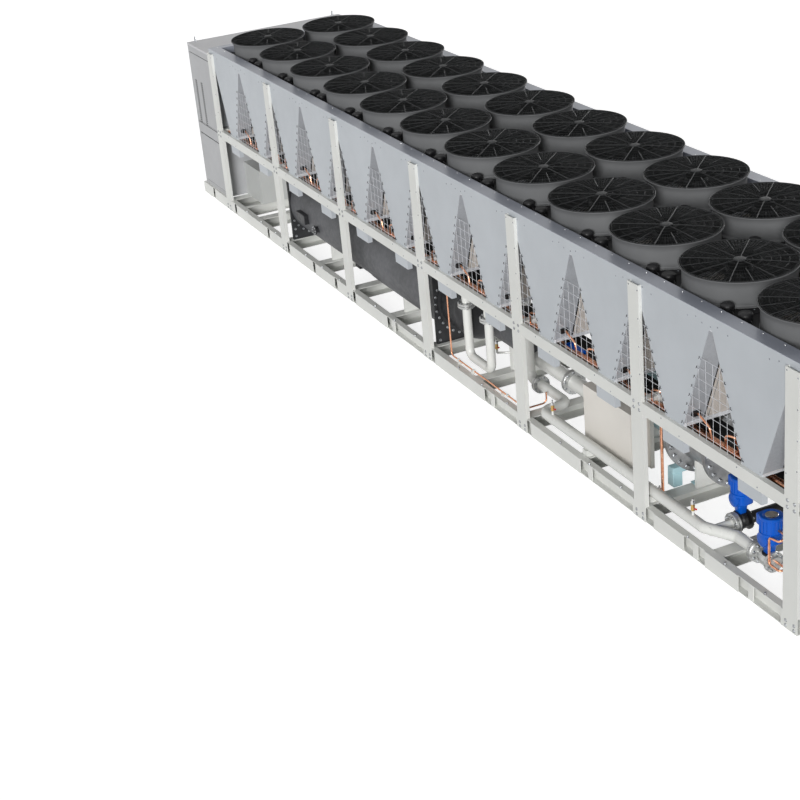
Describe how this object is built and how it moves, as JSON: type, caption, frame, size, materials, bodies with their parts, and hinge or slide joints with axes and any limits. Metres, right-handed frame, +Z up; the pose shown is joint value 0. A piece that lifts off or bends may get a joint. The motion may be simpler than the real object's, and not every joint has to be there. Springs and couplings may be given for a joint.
{
  "type": "air-cooled water chiller",
  "caption": "Long air-cooled water chiller on a steel channel frame, with V coil modules, roof fans in two rows, an end control cabinet and an evaporator with pipework below.",
  "frame": {"origin": "on the ground under the middle of the machine", "axes": "+X along the machine from the control cabinet to the pipe end, +Y across it, +Z up"},
  "size_m": [14.665, 2.536, 2.559],
  "materials": {
    "frame_paint": "satin powder coat",
    "cabinet_paint": "satin powder coat",
    "cabinet_roof_paint": "satin powder coat",
    "copper": "bright copper tube",
    "zinc_sheet": "galvanised",
    "panel_paint": "satin powder coat",
    "cast_grey": "bare casting",
    "motor_paint": "pale blue paint",
    "coil_fins": "finned aluminium",
    "drive_paint": "beige powder coat",
    "vessel_steel": "painted steel",
    "vessel_foam": "black closed-cell insulation",
    "black_deck": "matt black",
    "guard_wire": "black coated wire",
    "shroud_plastic": "satin moulded plastic",
    "rotor_plastic": "moulded plastic",
    "zinc_wire": "galvanised wire",
    "pipe_paint": "painted pipe",
    "flange_metal": "bare cast flange",
    "roof_metal": "glossy coated sheet",
    "actuator_blue": "glossy moulded plastic",
    "cast_black": "black coated casting"
  },
  "bodies": {
    "root": {"base_cover_plates": "frame_paint", "base_cross_members": "frame_paint", "base_rails": "frame_paint", "cabinet_body": "cabinet_paint", "cabinet_panels": "cabinet_paint", "cabinet_roof": "cabinet_roof_paint", "coil_headers": "copper", "coil_rails": "zinc_sheet", "coil_section_panels": "panel_paint", "compressor_casing": "cast_grey", "compressor_motor": "motor_paint", "condenser_coils": "coil_fins", "copper_lines": "copper", "drive_cabinet": "drive_paint", "electrical_enclosure": "cabinet_paint", "evaporator_ends": "vessel_steel", "evaporator_shell": "vessel_foam", "fan_deck": "black_deck", "fan_guards": "guard_wire", "fan_motors": "shroud_plastic", "fan_shrouds": "shroud_plastic", "fan_terminal_covers": "guard_wire", "frame_bolts": "zinc_sheet", "gap_guards": "zinc_wire", "lifting_eyes": "zinc_sheet", "liquid_pipe": "pipe_paint", "lower_supports": "frame_paint", "mid_rails": "frame_paint", "module_legs": "panel_paint", "pipe_flanges": "flange_metal", "roof_edge_strips": "roof_metal", "separator_vessel": "vessel_steel", "side_posts": "frame_paint", "suction_trap": "pipe_paint", "valve_actuators": "actuator_blue", "valve_bodies": "cast_black"},
    "fan_far_01": {"fan_rotor_far_01": "rotor_plastic"},
    "fan_far_02": {"fan_rotor_far_02": "rotor_plastic"},
    "fan_far_03": {"fan_rotor_far_03": "rotor_plastic"},
    "fan_far_04": {"fan_rotor_far_04": "rotor_plastic"},
    "fan_far_05": {"fan_rotor_far_05": "rotor_plastic"},
    "fan_far_06": {"fan_rotor_far_06": "rotor_plastic"},
    "fan_far_07": {"fan_rotor_far_07": "rotor_plastic"},
    "fan_far_08": {"fan_rotor_far_08": "rotor_plastic"},
    "fan_far_09": {"fan_rotor_far_09": "rotor_plastic"},
    "fan_far_10": {"fan_rotor_far_10": "rotor_plastic"},
    "fan_far_11": {"fan_rotor_far_11": "rotor_plastic"},
    "fan_far_12": {"fan_rotor_far_12": "rotor_plastic"},
    "fan_near_01": {"fan_rotor_near_01": "rotor_plastic"},
    "fan_near_02": {"fan_rotor_near_02": "rotor_plastic"},
    "fan_near_03": {"fan_rotor_near_03": "rotor_plastic"},
    "fan_near_04": {"fan_rotor_near_04": "rotor_plastic"},
    "fan_near_05": {"fan_rotor_near_05": "rotor_plastic"},
    "fan_near_06": {"fan_rotor_near_06": "rotor_plastic"},
    "fan_near_07": {"fan_rotor_near_07": "rotor_plastic"},
    "fan_near_08": {"fan_rotor_near_08": "rotor_plastic"},
    "fan_near_09": {"fan_rotor_near_09": "rotor_plastic"},
    "fan_near_10": {"fan_rotor_near_10": "rotor_plastic"},
    "fan_near_11": {"fan_rotor_near_11": "rotor_plastic"},
    "fan_near_12": {"fan_rotor_near_12": "rotor_plastic"}
  },
  "joints": [
    {"name": "fan_far_01_spin", "type": "hinge", "parent": "root", "child": "fan_far_01", "pos_m": [-5.6425, 0.541, 2.4], "axis": [0, 0, 1], "continuous": true},
    {"name": "fan_far_02_spin", "type": "hinge", "parent": "root", "child": "fan_far_02", "pos_m": [-4.5225, 0.541, 2.4], "axis": [0, 0, 1], "continuous": true},
    {"name": "fan_far_03_spin", "type": "hinge", "parent": "root", "child": "fan_far_03", "pos_m": [-3.4025, 0.541, 2.4], "axis": [0, 0, 1], "continuous": true},
    {"name": "fan_far_04_spin", "type": "hinge", "parent": "root", "child": "fan_far_04", "pos_m": [-2.2825, 0.541, 2.4], "axis": [0, 0, 1], "continuous": true},
    {"name": "fan_far_05_spin", "type": "hinge", "parent": "root", "child": "fan_far_05", "pos_m": [-1.1625, 0.541, 2.4], "axis": [0, 0, 1], "continuous": true},
    {"name": "fan_far_06_spin", "type": "hinge", "parent": "root", "child": "fan_far_06", "pos_m": [-0.0425, 0.541, 2.4], "axis": [0, 0, 1], "continuous": true},
    {"name": "fan_far_07_spin", "type": "hinge", "parent": "root", "child": "fan_far_07", "pos_m": [1.0775, 0.541, 2.4], "axis": [0, 0, 1], "continuous": true},
    {"name": "fan_far_08_spin", "type": "hinge", "parent": "root", "child": "fan_far_08", "pos_m": [2.1975, 0.541, 2.4], "axis": [0, 0, 1], "continuous": true},
    {"name": "fan_far_09_spin", "type": "hinge", "parent": "root", "child": "fan_far_09", "pos_m": [3.3175, 0.541, 2.4], "axis": [0, 0, 1], "continuous": true},
    {"name": "fan_far_10_spin", "type": "hinge", "parent": "root", "child": "fan_far_10", "pos_m": [4.4375, 0.541, 2.4], "axis": [0, 0, 1], "continuous": true},
    {"name": "fan_far_11_spin", "type": "hinge", "parent": "root", "child": "fan_far_11", "pos_m": [5.5575, 0.541, 2.4], "axis": [0, 0, 1], "continuous": true},
    {"name": "fan_far_12_spin", "type": "hinge", "parent": "root", "child": "fan_far_12", "pos_m": [6.6775, 0.541, 2.4], "axis": [0, 0, 1], "continuous": true},
    {"name": "fan_near_01_spin", "type": "hinge", "parent": "root", "child": "fan_near_01", "pos_m": [-5.6425, -0.541, 2.4], "axis": [0, 0, 1], "continuous": true},
    {"name": "fan_near_02_spin", "type": "hinge", "parent": "root", "child": "fan_near_02", "pos_m": [-4.5225, -0.541, 2.4], "axis": [0, 0, 1], "continuous": true},
    {"name": "fan_near_03_spin", "type": "hinge", "parent": "root", "child": "fan_near_03", "pos_m": [-3.4025, -0.541, 2.4], "axis": [0, 0, 1], "continuous": true},
    {"name": "fan_near_04_spin", "type": "hinge", "parent": "root", "child": "fan_near_04", "pos_m": [-2.2825, -0.541, 2.4], "axis": [0, 0, 1], "continuous": true},
    {"name": "fan_near_05_spin", "type": "hinge", "parent": "root", "child": "fan_near_05", "pos_m": [-1.1625, -0.541, 2.4], "axis": [0, 0, 1], "continuous": true},
    {"name": "fan_near_06_spin", "type": "hinge", "parent": "root", "child": "fan_near_06", "pos_m": [-0.0425, -0.541, 2.4], "axis": [0, 0, 1], "continuous": true},
    {"name": "fan_near_07_spin", "type": "hinge", "parent": "root", "child": "fan_near_07", "pos_m": [1.0775, -0.541, 2.4], "axis": [0, 0, 1], "continuous": true},
    {"name": "fan_near_08_spin", "type": "hinge", "parent": "root", "child": "fan_near_08", "pos_m": [2.1975, -0.541, 2.4], "axis": [0, 0, 1], "continuous": true},
    {"name": "fan_near_09_spin", "type": "hinge", "parent": "root", "child": "fan_near_09", "pos_m": [3.3175, -0.541, 2.4], "axis": [0, 0, 1], "continuous": true},
    {"name": "fan_near_10_spin", "type": "hinge", "parent": "root", "child": "fan_near_10", "pos_m": [4.4375, -0.541, 2.4], "axis": [0, 0, 1], "continuous": true},
    {"name": "fan_near_11_spin", "type": "hinge", "parent": "root", "child": "fan_near_11", "pos_m": [5.5575, -0.541, 2.4], "axis": [0, 0, 1], "continuous": true},
    {"name": "fan_near_12_spin", "type": "hinge", "parent": "root", "child": "fan_near_12", "pos_m": [6.6775, -0.541, 2.4], "axis": [0, 0, 1], "continuous": true}
  ]
}
